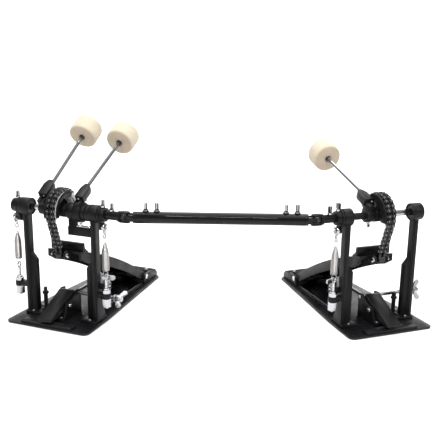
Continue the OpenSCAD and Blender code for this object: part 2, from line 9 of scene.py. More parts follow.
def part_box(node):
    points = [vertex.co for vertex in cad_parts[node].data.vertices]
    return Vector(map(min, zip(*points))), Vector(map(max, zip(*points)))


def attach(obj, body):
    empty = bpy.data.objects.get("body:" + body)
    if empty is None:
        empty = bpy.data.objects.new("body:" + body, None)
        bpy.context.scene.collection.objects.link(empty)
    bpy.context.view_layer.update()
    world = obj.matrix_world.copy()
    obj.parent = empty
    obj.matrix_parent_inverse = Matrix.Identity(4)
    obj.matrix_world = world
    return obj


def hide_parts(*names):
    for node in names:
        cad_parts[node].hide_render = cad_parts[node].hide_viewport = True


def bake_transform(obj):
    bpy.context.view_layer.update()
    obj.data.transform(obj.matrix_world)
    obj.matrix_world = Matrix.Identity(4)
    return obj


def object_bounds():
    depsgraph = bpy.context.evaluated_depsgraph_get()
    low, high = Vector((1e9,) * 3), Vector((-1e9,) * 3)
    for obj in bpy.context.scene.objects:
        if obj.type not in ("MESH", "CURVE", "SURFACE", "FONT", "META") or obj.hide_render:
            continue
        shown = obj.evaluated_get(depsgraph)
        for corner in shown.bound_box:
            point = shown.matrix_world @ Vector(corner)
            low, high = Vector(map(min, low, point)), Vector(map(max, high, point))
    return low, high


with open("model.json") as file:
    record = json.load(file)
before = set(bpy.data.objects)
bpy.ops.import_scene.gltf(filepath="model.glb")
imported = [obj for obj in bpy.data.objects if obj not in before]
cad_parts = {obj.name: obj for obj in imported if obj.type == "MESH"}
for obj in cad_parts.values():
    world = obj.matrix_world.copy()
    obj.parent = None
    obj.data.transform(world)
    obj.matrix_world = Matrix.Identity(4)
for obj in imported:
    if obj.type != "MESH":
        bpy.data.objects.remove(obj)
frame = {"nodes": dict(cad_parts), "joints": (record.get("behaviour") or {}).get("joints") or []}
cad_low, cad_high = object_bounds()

# ------------------------------------------------------------------ dimensions
# Millimetres in each pedal's own frame: x across, y towards the heel, z up,
# with the origin on the floor below the middle of the axle.
MM = 0.001
AXLE_Z = 184.3
HEAD_INNER = 69.0            # outboard end of an inner bearing housing
HEAD_OUTER = 75.0            # outboard end of an outer bearing housing
SPRING_OUTER_X = HEAD_OUTER + 13.0
SPRING_INNER_X = HEAD_INNER + 7.5
CHAIN_R = 33.0
CHAIN_PITCH = 8.0
TOE_BOLT = (-10.0, 113.0)
WOUND_PIN_COUNT = 12
RUN_LINKS = 6
ROCKER_R = 20.0              # from the axle to the spring's pin
EYE_Z = 82.5                 # eye that the spring's lower loop hangs in
ROD_OFFSET = 19.5
ROD_R = 2.8
FELT_R = 24.5
FELT_L = 33.0
HINGE_Y = 201.0
HINGE_Z = 16.0
BOARD_RISE = 93.0
BOARD_TOE_Y = 1.5
PLATE_TOP_Z = 8.0            # top of the post feet and of the clamp's foot
HEEL_TOP_Z = 19.0
HEEL_SCREW = (30, 230)       # x either side of the middle, and y
SPUR_X = {"main": (-47, 40), "aux": (47, -40)}
POST_X = {"main": (-66, 59), "aux": (66, -59)}
JAW_PIVOT = (-4, 25)         # y and z of the hoop jaw's pin
WEIGHT_PIN_DROP = 23.5       # from the axle to the pin in the second hub's weight
CLAMP_SCREW_Y = 25.5
CLAMP_SCREW_Z = 38.0
WING_X = {"main": 84, "aux": 96}
WING_TURN = {"main": 120, "aux": 170}
MIRROR = {"main": 1, "aux": -1}   # the auxiliary pedal is the main one's mirror image


def joint(name):
    return next(j for j in frame["joints"] if j["name"] == name)


def pedal_matrix(side):
    """Takes a pedal's own millimetres to the shared frame in metres, from its cam's joint."""
    spin = joint(f"{side}_cam_spin")
    x = Vector(spin["axis"]).normalized()
    z = Vector((0, 0, 1))
    y = z.cross(x)
    m = Matrix((x, y, z)).transposed().to_4x4()
    m.translation = Vector((spin["pos_m"][0], spin["pos_m"][1], 0))
    return m @ Matrix.Scale(MM, 4)


PEDAL = {side: pedal_matrix(side) for side in ("main", "aux")}


# ------------------------------------------------------------------ materials
def new_material(name):
    mat = bpy.data.materials.new(name)
    mat.use_nodes = True
    return mat, mat.node_tree, mat.node_tree.nodes["Principled BSDF"]


def object_noise(tree, scale, detail, rough=0.6):
    coord = tree.nodes.new("ShaderNodeTexCoord")
    tex = tree.nodes.new("ShaderNodeTexNoise")
    tex.inputs["Scale"].default_value = scale
    tex.inputs["Detail"].default_value = detail
    tex.inputs["Roughness"].default_value = rough
    tree.links.new(coord.outputs["Object"], tex.inputs["Vector"])
    return tex.outputs["Fac"]


def ramp(tree, source, stops):
    node = tree.nodes.new("ShaderNodeValToRGB")
    ends = node.color_ramp.elements
    while len(ends) < len(stops):
        ends.new(0.5)
    for end, (pos, value) in zip(ends, stops):
        end.position = pos
        end.color = (*value, 1) if isinstance(value, tuple) else (value, value, value, 1)
    tree.links.new(source, node.inputs["Fac"])
    return node.outputs["Color"]


def bump(tree, bsdf, heights, distance, strength):
    """Adds bump nodes in a row, one for each height output."""
    last = None
    for height, d, s in zip(heights, distance, strength):
        node = tree.nodes.new("ShaderNodeBump")
        node.inputs["Distance"].default_value = d
        node.inputs["Strength"].default_value = s
        tree.links.new(height, node.inputs["Height"])
        if last:
            tree.links.new(last, node.inputs["Normal"])
        last = node.outputs["Normal"]
    tree.links.new(last, bsdf.inputs["Normal"])


def powder_coat(name, tone, rough, grain, shine):
    """Black powder coat: fine orange peel, slight tone variation, and edges painted lighter: a painted
    highlight together with slight edge wear.
    """
    mat, tree, bsdf = new_material(name)
    broad = object_noise(tree, 45, 3)
    fine = object_noise(tree, 1500, 2)
    dark, light = tuple(c * 0.82 for c in tone), tuple(c * 1.2 for c in tone)
    base = ramp(tree, broad, [(0.3, dark), (0.72, light)])
    # painted highlight with some edge wear: faces that pointiness finds on edges are mixed towards a lighter
    # tone
    geo = tree.nodes.new("ShaderNodeNewGeometry")
    edge_highlight = ramp(tree, geo.outputs["Pointiness"], [(0.52, 0.0), (0.60, 0.55)])
    mix = tree.nodes.new("ShaderNodeMix")
    mix.data_type = "RGBA"
    mix.inputs["B"].default_value = (*(min(1, c * 2.6 + 0.006) for c in tone), 1)
    bsdf.inputs["Specular IOR Level"].default_value = shine
    tree.links.new(edge_highlight, mix.inputs["Factor"])
    tree.links.new(base, mix.inputs["A"])
    tree.links.new(mix.outputs["Result"], bsdf.inputs["Base Color"])
    tree.links.new(ramp(tree, broad, [(0.3, rough - 0.05), (0.7, rough + 0.07)]), bsdf.inputs["Roughness"])
    bump(tree, bsdf, [fine], [0.00012], [grain])
    return mat


def gloss_black():
    mat, tree, bsdf = new_material("gloss_black")
    broad = object_noise(tree, 60, 3)
    tree.links.new(ramp(tree, broad, [(0.3, 0.003), (0.7, 0.006)]), bsdf.inputs["Base Color"])
    tree.links.new(ramp(tree, broad, [(0.3, 0.05), (0.7, 0.08)]), bsdf.inputs["Roughness"])
    bsdf.inputs["Specular IOR Level"].default_value = 0.2
    bump(tree, bsdf, [object_noise(tree, 700, 2)], [0.0001], [0.06])
    return mat


def metal(name, tone, rough, scratch=0.1):
    """Bare or plated metal with soft tone changes and fine handling marks."""
    mat, tree, bsdf = new_material(name)
    bsdf.inputs["Metallic"].default_value = 1.0
    broad = object_noise(tree, 80, 3)
    base = ramp(tree, broad, [(0.3, tuple(c * 0.86 for c in tone)), (0.7, tone)])
    tree.links.new(base, bsdf.inputs["Base Color"])
    fine = object_noise(tree, 900, 3, 0.7)
    tree.links.new(ramp(tree, fine, [(0.3, rough * 0.7), (0.75, rough * 1.5)]), bsdf.inputs["Roughness"])
    bump(tree, bsdf, [fine], [0.00006], [scratch])
    return mat


def felt(name, light, dark, fuzz):
    """Pressed felt: matted fibres at two scales, soft sheen."""
    mat, tree, bsdf = new_material(name)
    fibre = object_noise(tree, 900, 8, 0.75)
    clump = object_noise(tree, 160, 4)
    base = ramp(tree, fibre, [(0.32, dark), (0.58, light)])
    tree.links.new(base, bsdf.inputs["Base Color"])
    bsdf.inputs["Roughness"].default_value = 0.95
    bsdf.inputs["Sheen Weight"].default_value = 0.25
    bsdf.inputs["Sheen Roughness"].default_value = 0.5
    bump(tree, bsdf, [clump, fibre], [0.0008, 0.0005], [0.35, fuzz])
    return mat


def floor_material():
    mat, tree, bsdf = new_material("studio_floor")
    base = ramp(tree, object_noise(tree, 3, 2), [(0.3, 0.86), (0.7, 0.9)])
    tree.links.new(base, bsdf.inputs["Base Color"])
    bsdf.inputs["Roughness"].default_value = 0.7
    return mat


COAT = powder_coat("satin_powder_coat", (0.0055, 0.0055, 0.0062), 0.38, 0.2, 0.16)
PLATE_COAT = powder_coat("plate_powder_coat", (0.006, 0.006, 0.007), 0.3, 0.12, 0.3)
CAST = powder_coat("cast_powder_coat", (0.0042, 0.0042, 0.0048), 0.38, 0.3, 0.15)
GLOSS = gloss_black()
CHROME = metal("chrome", (0.52, 0.52, 0.54), 0.13)
STEEL = metal("bright_steel", (0.44, 0.44, 0.45), 0.24, 0.25)
BRASS = metal("aged_brass", (0.42, 0.37, 0.28), 0.25, 0.2)
DARK_STEEL = metal("dark_steel", (0.12, 0.115, 0.11), 0.28, 0.2)
# lit and shaded copies of the rods' chrome: the auxiliary rod's is the lighter one, the main and second
# rods' darker copy is painted shade
ROD_CHROME = metal("rod_chrome", (0.27, 0.27, 0.285), 0.16, 0.12)
ROD_SHADED_CHROME = metal("rod_chrome_shaded_copy", (0.125, 0.125, 0.13), 0.16, 0.12)
# bearings painted near-black: painted shade of the recesses they sit in
BEARING_RECESS_SHADE = metal("bearing_painted_shade", (0.03, 0.03, 0.032), 0.3, 0.2)
SPRING_WIRE = metal("spring_wire", (0.5, 0.485, 0.475), 0.36, 0.3)
CHAIN_PLATE = metal("chain_plate", (0.05, 0.05, 0.053), 0.3, 0.3)
CHAIN_ROLLER = metal("chain_roller", (0.33, 0.32, 0.31), 0.24, 0.2)
FELT_SIDE = felt("felt_side", (0.60, 0.53, 0.41), (0.40, 0.34, 0.245), 0.8)
# darker colour of the felt heads' lower cut face: partly the cut felt, partly painted shade
FELT_CUT_AND_SHADE = felt("felt_cut_face_and_shade", (0.52, 0.43, 0.33), (0.37, 0.30, 0.215), 0.8)
CAM_FELT = felt("cam_felt", (0.62, 0.62, 0.6), (0.42, 0.42, 0.41), 0.6)
FLOOR = floor_material()


# ------------------------------------------------------------------ mesh helpers
def transform_new(bm, count_before, matrix):
    bm.verts.ensure_lookup_table()
    bmesh.ops.transform(bm, matrix=matrix, verts=bm.verts[count_before:])


def lathe(bm, profile, steps, matrix=Matrix(), material=0):
    """Revolves (radius, height) points about z. Points on the axis close the shape."""
    start = len(bm.verts)
    rings = []
    for r, z in profile:
        if r < 1e-6:
            rings.append([bm.verts.new((0, 0, z))])
        else:
            rings.append([bm.verts.new((x, y, z)) for x, y in polygon_ring(r, steps)])
    for a, b in zip(rings, rings[1:]):
        for i in range(steps):
            j = (i + 1) % steps
            if len(a) == 1:
                face = bm.faces.new((a[0], b[j], b[i]))
            elif len(b) == 1:
                face = bm.faces.new((a[i], a[j], b[0]))
            else:
                face = bm.faces.new((a[i], a[j], b[j], b[i]))
            face.smooth = True
            face.material_index = material
    transform_new(bm, start, matrix)


def sweep(bm, path, radius, sides, closed=False, material=0, matrix=Matrix()):
    """Sweeps a circle along points, with flat ends or closed into a ring."""
    start = len(bm.verts)
    points = [Vector(p) for p in path]
    n = len(points)
    tangents = []
    for i in range(n):
        ahead = points[(i + 1) % n] if closed or i < n - 1 else points[i]
        behind = points[i - 1] if closed or i > 0 else points[i]
        tangents.append((ahead - behind).normalized())
    normal = tangents[0].orthogonal().normalized()
    rings = []
    for p, t in zip(points, tangents):
        normal = (normal - t * normal.dot(t)).normalized()
        side = t.cross(normal)
        rings.append([bm.verts.new(p + (normal * math.cos(a) + side * math.sin(a)) * radius)
                      for a in (2 * math.pi * k / sides for k in range(sides))])
    pairs = list(zip(rings, rings[1:]))
    if closed:
        # turn the last ring so that it meets the first with the least twist
        last, first = rings[-1], rings[0]
        shift = min(range(sides), key=lambda s: (last[s].co - first[0].co).length)
        pairs.append((last[shift:] + last[:shift], first))
    for a, b in pairs:
        for k in range(sides):
            m = (k + 1) % sides
            face = bm.faces.new((a[k], a[m], b[m], b[k]))
            face.smooth = True
            face.material_index = material
    if not closed:
        for ring, flip in ((rings[0], True), (rings[-1], False)):
            face = bm.faces.new(list(reversed(ring)) if flip else ring)
            face.material_index = material
    transform_new(bm, start, matrix)


def prism(bm, outline, depth, bevel, matrix, material=0):
    """Extrudes a 2-D outline by depth about z = 0 and softens its rim edges."""
    start = len(bm.verts)
    half = depth / 2
    inner = inset(outline, bevel)
    levels = [(inner, -half), (outline, -half + bevel), (outline, half - bevel), (inner, half)]
    rings = [[bm.verts.new((x, y, z)) for x, y in pts] for pts, z in levels]
    n = len(outline)
    faces = []
    for a, b in zip(rings, rings[1:]):
        faces += [bm.faces.new((a[i], a[(i + 1) % n], b[(i + 1) % n], b[i])) for i in range(n)]
    faces.append(bm.faces.new(list(reversed(rings[0]))))
    faces.append(bm.faces.new(rings[-1]))
    for f in faces:
        f.material_index = material
    transform_new(bm, start, matrix)


def inset(outline, d):
    """Moves each corner of a counter-clockwise outline inwards by d."""
    n = len(outline)
    made = []
    for i in range(n):
        p, q, r = (Vector(outline[(i + k) % n]) for k in (-1, 0, 1))
        a, b = (q - p).normalized(), (r - q).normalized()
        na, nb = Vector((-a.y, a.x)), Vector((-b.y, b.x))
        m = (na + nb).normalized()
        made.append(tuple(q + m * (d / max(0.3, m.dot(na)))))
    return made


def arc(cx, cy, r, a0, a1, steps):
    """Points of an arc between two angles in degrees."""
    return [(cx + r * math.cos(math.radians(a0 + (a1 - a0) * i / steps)),
             cy + r * math.sin(math.radians(a0 + (a1 - a0) * i / steps))) for i in range(steps + 1)]


def polygon_ring(r, sides):
    return [(r * math.cos(2 * math.pi * i / sides), r * math.sin(2 * math.pi * i / sides))
            for i in range(sides)]


def ring_x(x, cy, cz, r, angles):
    """Points in a plane of constant x, around (cy, cz), at angles in degrees."""
    return [(x, cy + r * math.cos(math.radians(a)), cz + r * math.sin(math.radians(a))) for a in angles]


def rounded_box(bm, size, centre, bevel, matrix=Matrix(), material=0):
    """Box with its top and bottom edges softened."""
    x, y = size[0] / 2, size[1] / 2
    prism(bm, [(-x, -y), (x, -y), (x, y), (-x, y)], size[2], bevel,
          matrix @ Matrix.Translation(centre), material)


def turn_x(degrees):
    return Matrix.Rotation(math.radians(degrees), 4, "X")


def turn_y(degrees):
    return Matrix.Rotation(math.radians(degrees), 4, "Y")


def turn_z(degrees):
    return Matrix.Rotation(math.radians(degrees), 4, "Z")


def move(x, y, z):
    return Matrix.Translation((x, y, z))


ALONG_X = turn_y(90)


def finish_piece(name, bm, matrix, materials, body, replaces, smooth_angle=40):
    """Turns a bmesh in a pedal's millimetres into a piece that rides on a body."""
    bmesh.ops.recalc_face_normals(bm, faces=bm.faces)
    bmesh.ops.transform(bm, matrix=matrix, verts=bm.verts)
    mesh = bpy.data.meshes.new(name)
    bm.to_mesh(mesh)
    bm.free()
    obj = bpy.data.objects.new(name, mesh)
    bpy.context.scene.collection.objects.link(obj)
    for mat in materials:
        mesh.materials.append(mat)
    mesh.polygons.foreach_set("use_smooth", [True] * len(mesh.polygons))
    mesh.set_sharp_from_angle(angle=math.radians(smooth_angle))
    if body:
        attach(obj, body)
    if replaces:
        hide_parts(*replaces)
    return obj


# ------------------------------------------------------------------ small hardware
def knurled(bm, r, height, matrix, teeth):
    """Knurled round nut: toothed rim between two chamfers, with z from 0 to height."""
    rings = []
    start = len(bm.verts)
    steps = teeth * 2
    for z, base, tooth in ((0, r * 0.86, 0), (0.6, r * 0.97, 0), (0.9, r, 0.32), (height - 0.9, r, 0.32),
                           (height - 0.6, r * 0.97, 0), (height, r * 0.86, 0)):
        rings.append([bm.verts.new(((base - tooth * (i % 2)) * math.cos(2 * math.pi * i / steps),
                                    (base - tooth * (i % 2)) * math.sin(2 * math.pi * i / steps), z))
                      for i in range(steps)])
    for a, b in zip(rings, rings[1:]):
        for i in range(steps):
            j = (i + 1) % steps
            bm.faces.new((a[i], a[j], b[j], b[i]))
    bm.faces.new(list(reversed(rings[0])))
    bm.faces.new(rings[-1])
    transform_new(bm, start, matrix)


def threaded_rod(bm, r, length, matrix, material, pitch):
    """Rod along z with a helical thread on it."""
    lathe(bm, [(0, 0), (r * 0.72, 0), (r * 0.86, 0.5), (r * 0.86, length - 0.5), (r * 0.72, length),
               (0, length)], 16, matrix, material)
    turns = (length - 1.2) / pitch
    steps = int(turns * 14)
    ridge_r = r * 0.9
    path = []
    for i in range(steps + 1):
        a = 2 * math.pi * turns * i / steps
        path.append((ridge_r * math.cos(a), ridge_r * math.sin(a), 0.6 + (length - 1.2) * i / steps))
    sweep(bm, path, pitch * 0.28, 5, False, material, matrix)


def key_bolt(bm, matrix, head, half, head_index=0):
    """Drum-key bolt that points up z from its seat: flanged foot, waist and square head."""
    lathe(bm, [(0, -1.5), (3.9, -1.5), (4.1, -0.8), (4.1, 0.6), (3.6, 1.3), (2.2, 1.9), (2.0, 2.6),
               (2.0, 3.4), (0, 3.4)], 24, matrix)
    square = head - 2.6
    rounded_box(bm, (half * 2, half * 2, square), (0, 0, 2.6 + square / 2), 0.55, matrix, head_index)


def socket_screw(bm, matrix, r, height):
    """Button head with a round socket, seated at z = 0."""
    lathe(bm, [(r, 0), (r, height * 0.35), (r * 0.86, height * 0.78), (r * 0.62, height), (r * 0.45, height),
               (r * 0.42, height * 0.4), (0, height * 0.35)], 24, matrix)


def wing_nut(bm, matrix):
    """Wing nut with its bore along z and its foot at z = 0."""
    lathe(bm, [(0, 0), (6.2, 0), (6.4, 0.8), (5.2, 5.5), (4.6, 8.5), (3.9, 9.2), (0, 9.2)], 28, matrix)
    outline = [(3.5, 1.0), (8.0, 1.6)] + arc(13.0, 8.6, 4.6, -70, 110, 10) + [(7.6, 9.6), (3.6, 7.2)]
    for turn in (0, 180):
        prism(bm, outline, 2.6, 0.7, matrix @ turn_z(turn) @ turn_x(90))


# ------------------------------------------------------------------ chain
def chain_pins():
    """Pin centres (y, z) up the cam from the tangent point, and down the straight run."""
    ty, tz = TOE_BOLT[0], TOE_BOLT[1] - AXLE_Z
    tangent = math.atan2(tz, ty) - math.acos(CHAIN_R / math.hypot(ty, tz))
    step = 2 * math.asin(CHAIN_PITCH / 2 / CHAIN_R)
    wound = [(CHAIN_R * math.cos(tangent - k * step), AXLE_Z + CHAIN_R * math.sin(tangent - k * step))
             for k in range(WOUND_PIN_COUNT)]
    toe = Vector(TOE_BOLT)
    down = (toe - Vector(wound[0])).normalized()
    straight = [tuple(Vector(wound[0]) + down * CHAIN_PITCH * k) for k in range(RUN_LINKS + 2)]
    return wound, straight


WOUND_PINS, RUN_PINS = chain_pins()


def plate_outline(length):
    """Figure-of-eight outline of a chain plate, with its holes at x = 0 and x = length."""
    r, waist, mid = 3.45, 2.5, length / 2
    ends = arc(length, 0, r, -60, 60, 8)
    return ends + [(mid, waist)] + arc(0, 0, r, 120, 240, 8) + [(mid, -waist)]


def between(p, q):
    """Frame at point p with y towards q, the same for flat outlines, and the distance."""
    d = Vector(q) - Vector(p)
    along = move(0, p[0], p[1]) @ turn_x(math.degrees(math.atan2(d.y, d.x)))
    # an outline's x runs along the link and its y across it, with the thickness across the pedal
    flat = along @ Matrix(((0, 0, 1, 0), (1, 0, 0, 0), (0, 1, 0, 0), (0, 0, 0, 1)))
    return along, flat, d.length


def chain_link(bm, p, q, outer):
    """One duplex link between pins p and q: plates, and pins or rollers."""
    along, flat, length = between(p, q)
    for x in ((1.6, 6.5) if outer else (2.8, 5.3)):
        for s in (-1, 1):
            prism(bm, plate_outline(length), 1.1, 0.22, flat @ move(0, 0, s * x))
    if outer:
        for y in (0, length):
            for s in (-1, 1):
                head = along @ move(s * 7.0, y, 0) @ turn_y(90 * s)
                lathe(bm, [(1.75, -0.1), (1.75, 0.35), (1.3, 0.8), (0.6, 0.95), (0, 0.95)], 14, head, 1)
            lathe(bm, [(0, -7.1), (1.3, -7.1), (1.3, 7.1), (0, 7.1)], 12, along @ move(0, y, 0) @ ALONG_X, 1)
    else:
        for y in (0, length):
            for s in (-1, 1):
                lathe(bm, [(1.4, -1.15), (2.45, -1.15), (2.6, -0.9), (2.6, 0.9), (2.45, 1.15),
                           (1.4, 1.15)], 18, along @ move(s * 4.05, y, 0) @ ALONG_X, 1)


def chain_piece(side, part, body, pins, first):
    """One rigid group of links; first is odd where its first link is an inner one."""
    bm = bmesh.new()
    for k, (p, q) in enumerate(zip(pins, pins[1:])):
        chain_link(bm, p, q, (first + k) % 2 == 0)
    if part == "run":
        # end link: two straps from the last pin to an eye around the toe bolt
        _, flat, _ = between(pins[-1], TOE_BOLT)
        strap = [(-3.2, -2.2), (-2.2, -3.2), (5.2, -3.2), (5.2, 3.2), (-2.2, 3.2), (-3.2, 2.2)]
        for s in (-1, 1):
            prism(bm, strap, 2.4, 0.3, flat @ move(0, 0, s * 4))
        lathe(bm, [(4.6, -5.4), (5.9, -5.4), (6.3, -5.0), (6.3, 5.0), (5.9, 5.4), (4.6, 5.4), (4.5, 5.3),
                   (4.5, -5.3), (4.6, -5.4)], 32, move(0, *TOE_BOLT) @ ALONG_X)
    finish_piece(f"{side}_chain_{part}_links", bm, PEDAL[side], [CHAIN_PLATE, CHAIN_ROLLER], body,
                 [f"{side}_chain_{part}"], 35)


def chains():
    for side in ("main", "aux"):
        chain_piece(side, "wound", f"{side}_cam_axle", WOUND_PINS[5:], 5)
        chain_piece(side, "upper", f"{side}_upper_links", WOUND_PINS[2:6], 2)
        chain_piece(side, "middle", f"{side}_middle_links", WOUND_PINS[0:3], 0)
        chain_piece(side, "run", f"{side}_run_links", RUN_PINS, 1)


# ------------------------------------------------------------------ springs
SPRING_WIRE_R = 0.62
SPRINGS = (("main", "main", -SPRING_OUTER_X), ("second", "main", SPRING_INNER_X),
           ("aux", "aux", -SPRING_INNER_X))


def spring_path(x):
    """Centre line of an extension spring: lower loop, close coils, taper, upper loop."""
    low, high, taper = 93.0, 136.5, 15.0
    coil_r, neck_r = 5.4, 2.6
    loop_z, loop_r = 87.8, 4.2
    path = []
    for i in range(22):
        a = math.radians(70 - 330 * i / 21)
        path.append((x + loop_r * math.cos(a), 0, loop_z + loop_r * math.sin(a)))
    turns = (high - low) / (SPRING_WIRE_R * 2.06)
    steps = int(turns * 20)
    for i in range(steps + 1):
        z = low + (high - low) * i / steps
        share = max(0.0, (z - (high - taper)) / taper)
        ease = share * share * (3 - 2 * share)
        r = coil_r + (neck_r - coil_r) * ease
        a = 2 * math.pi * turns * i / steps + math.pi / 2
        path.append((x + r * math.cos(a), r * math.sin(a), z))
    loop_z, loop_r = 143.4, 4.8
    for i in range(24):
        a = math.radians(-110 + 335 * i / 23)
        path.append((x + loop_r * math.cos(a), 0, loop_z + loop_r * math.sin(a)))
    return path


def springs():
    for name, side, x in SPRINGS:
        bm = bmesh.new()
        sweep(bm, spring_path(x), SPRING_WIRE_R, 7)
        obj = finish_piece(f"{name}_spring_coil", bm, PEDAL[side], [SPRING_WIRE], None,
                           [f"{name}_spring"])
        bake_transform(obj)


def spring_links():
    """Ball bearing on the rocker's pin, a stirrup under it and an S-hook down to the spring."""
    pin_z = AXLE_Z - ROCKER_R
    for name, side, x in SPRINGS:
        bm = bmesh.new()
        at = move(x, 0, pin_z) @ ALONG_X
        for r0, r1, half, index in ((5.4, 6.6, 2.3, 0), (4.45, 5.5, 2.0, 1)):
            lathe(bm, [(r0, -half), (r1 - 0.3, -half), (r1, -half + 0.3), (r1, half - 0.3),
                       (r1 - 0.3, half), (r0, half), (r0, -half)], 36, at, index)
        legs = ring_x(x, 0, pin_z, 7.3, [205 + 130 * k / 24 for k in range(25)])
        near = (x, legs[0][1] - 0.2, pin_z + 1.5)
        far = (x, legs[-1][1] + 0.2, pin_z + 1.5)
        sweep(bm, [near] + legs + [far], 1.0, 8)
        hook = ring_x(x, 0, pin_z - 9.4, 2.6, range(200, -60, -15))
        hook += ring_x(x, 0, 149.0, 3.4, range(120, 410, 15))
        sweep(bm, hook, 1.05, 8)
        finish_piece(f"{name}_spring_hook", bm, PEDAL[side], [CHROME, BRASS], f"{name}_spring_end",
                     [f"{name}_spring_link"], 45)


# ------------------------------------------------------------------ beaters
# pedal, x of the rod, its lean from upright and how far up the rod the felt sits
BEATERS = {"main": ("main", -29.0, 56, 149), "second": ("main", 32.5, 62, 158),
           "aux": ("aux", -15.2, 73, 160)}


def rod_matrix(name):
    """Takes millimetres along a beater's rod (z) to its pedal's frame."""
    _, x, lean, _ = BEATERS[name]
    return move(x, 0, AXLE_Z) @ turn_x(-lean) @ move(0, -ROD_OFFSET, 0)


def beater_felt(name):
    """Felt head, slightly lumpy, with the darker cut face around the rod; that darkness is partly the cut
    felt's own colour and partly painted shade.
    """
    side, _, _, reach = BEATERS[name]
    crown, near_r, round_r, rows = 0.5, 4.2, 5.5, 12
    profile = [(ROD_R - 0.1, 1.2), (6.0, 0.4)]
    profile += [(r, 0.1) for r in (9.0, 12.0, 15.0, 17.5, 19.5)]
    profile += arc(FELT_R - near_r, near_r, near_r, -80, 0, 6)
    straight = FELT_L - round_r - near_r
    profile += [(FELT_R + 0.25 * math.sin(math.pi * i / rows), near_r + straight * i / rows)
                for i in range(1, rows)]
    profile += arc(FELT_R - round_r, FELT_L - round_r, round_r, 0, 85, 9)
    profile += [(r, FELT_L + crown * (1 - (r / 18) ** 2)) for r in (16.0, 12.0, 8.0, 4.0)]
    profile.append((0, FELT_L + crown))
    bm = bmesh.new()
    lathe(bm, profile, 112)
    # faces near the rod's end take the darker cut-face material, partly painted shade
    for f in bm.faces:
        f.material_index = 1 if f.calc_center_median().z < 0.7 else 0
    bm.normal_update()
    for v in bm.verts:
        lump = noise.noise(v.co * 0.16 + Vector((reach, 0, 0))) * 0.28
        fuzz = noise.noise(v.co * 0.9 + Vector((0, reach, 0))) * 0.16
        if v.co.xy.length > ROD_R + 1:
            v.co += v.normal * (lump + fuzz - 0.1)
    finish_piece(f"{name}_felt_head", bm, PEDAL[side] @ rod_matrix(name) @ move(0, 0, reach),
                 [FELT_SIDE, FELT_CUT_AND_SHADE], f"{name}_beater", [f"{name}_beater_felt"], 80)


def beater_hardware(name):
    """Threaded end, washer and small nut under the felt head."""
    side, _, _, reach = BEATERS[name]
    bm = bmesh.new()
    lathe(bm, [(ROD_R, -0.5), (5.2, -0.5), (5.4, -0.3), (5.4, 0.3), (5.0, 0.6), (ROD_R, 0.6)], 28)
    prism(bm, polygon_ring(4.9, 6), 3.4, 0.5, move(0, 0, -2.1))
    threaded_rod(bm, 3.15, 15, move(0, 0, -17), 1, 0.9)
    finish_piece(f"{name}_beater_nut", bm, PEDAL[side] @ rod_matrix(name) @ move(0, 0, reach),
                 [DARK_STEEL, STEEL], f"{name}_beater", (), 30)


def clamp_bolts(name):
    """Key bolt that grips the rod and the set bolt under the clamp."""
    side, x, _, _ = BEATERS[name]
    body = "second_cam" if name == "second" else f"{side}_cam_axle"
    mid = {"main": -1.75, "second": 1.75, "aux": -5.45}[name]
    ring = 16.0 if name == "second" else 10.5
    bm = bmesh.new()
    key_bolt(bm, rod_matrix(name) @ move(mid, 6, 22) @ turn_x(-90), 9, 2.3)
    key_bolt(bm, move(x + mid, 0, AXLE_Z - ring) @ turn_x(180), 8.5, 2.3)
    finish_piece(f"{name}_clamp_bolts", bm, PEDAL[side], [CHROME], body, (), 30)


# ------------------------------------------------------------------ bolts on the rockers, forks and tube
def rocker_bolts():
    """Key bolts on the spring rockers and on the forks of the joints at the axles."""
    for name, side, x, body in (("main_rocker", "main", -(HEAD_OUTER + 8), "main_cam_axle"),
                                ("second_rocker", "main", HEAD_INNER + 5.5, "second_cam"),
                                ("aux_rocker", "aux", -(HEAD_INNER + 7), "aux_cam_axle"),
                                ("main_joint", "main", HEAD_INNER + 21, "second_cam"),
                                ("aux_joint", "aux", -(HEAD_INNER + 21), "aux_cam_axle")):
        seat = AXLE_Z + (13.0 if "rocker" in name else 8.6)
        bm = bmesh.new()
        key_bolt(bm, move(x, 0, seat) @ turn_z(20), 11.2, 2.35, 1)
        finish_piece(f"{name}_key_bolt", bm, PEDAL[side], [CHROME, STEEL], body, (), 30)


def link_bolts():
    """Four key bolts along the top of the link tube."""
    low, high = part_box("link_tube")
    centre_y = (low.y + high.y) / 2 / MM
    half = high.x / MM
    for name, x in (("a", -half + 15), ("b", -half + 32), ("c", half - 29.5), ("d", half - 12)):
        bm = bmesh.new()
        key_bolt(bm, move(x, centre_y, AXLE_Z + 11) @ turn_z(30 if name in "bd" else 8), 12.6, 2.4, 1)
        finish_piece(f"link_key_bolt_{name}", bm, Matrix.Scale(MM, 4), [CHROME, STEEL], "link_outer",
                     (), 30)


# ------------------------------------------------------------------ frame hardware
def frame_screws(side):
    """Spring eye bolts with knurled nuts, and the spur screws in the post feet."""
    bm = bmesh.new()
    eyes = [-SPRING_OUTER_X, SPRING_INNER_X] if side == "main" else [-SPRING_INNER_X]
    for x in eyes:
        threaded_rod(bm, 2.5, 49, move(x, 0, 29.5), 0, 1.1)
        sweep(bm, ring_x(x, 0, EYE_Z, 4, range(0, 360, 12)), 1.2, 10, True)
        knurled(bm, 6.6, 6.0, move(x, 0, 55), 24)
        lathe(bm, [(0, 61), (4.6, 61), (4.6, 63.1), (4.0, 63.7), (0, 63.7)], 24, move(x, 0, 0))
        knurled(bm, 7.1, 14.6, move(x, 0, 32.2), 40)
    for x in SPUR_X[side]:
        threaded_rod(bm, 3.6, 33, move(x, 12, 3), 1, 1.25)
        lathe(bm, [(0, 33), (4.8, 33), (5.2, 33.6), (5.2, 36.4), (4.6, 37), (0, 37)], 24, move(x, 12, 0), 1)
        rounded_box(bm, (5.2, 5.2, 7.5), (0, 0, 40.5), 0.6, move(x, 12, 0) @ turn_z(25), 1)
    finish_piece(f"{side}_adjusters", bm, PEDAL[side], [CHROME, COAT], f"{side}_frame",
                 [f"{side}_screws"], 30)


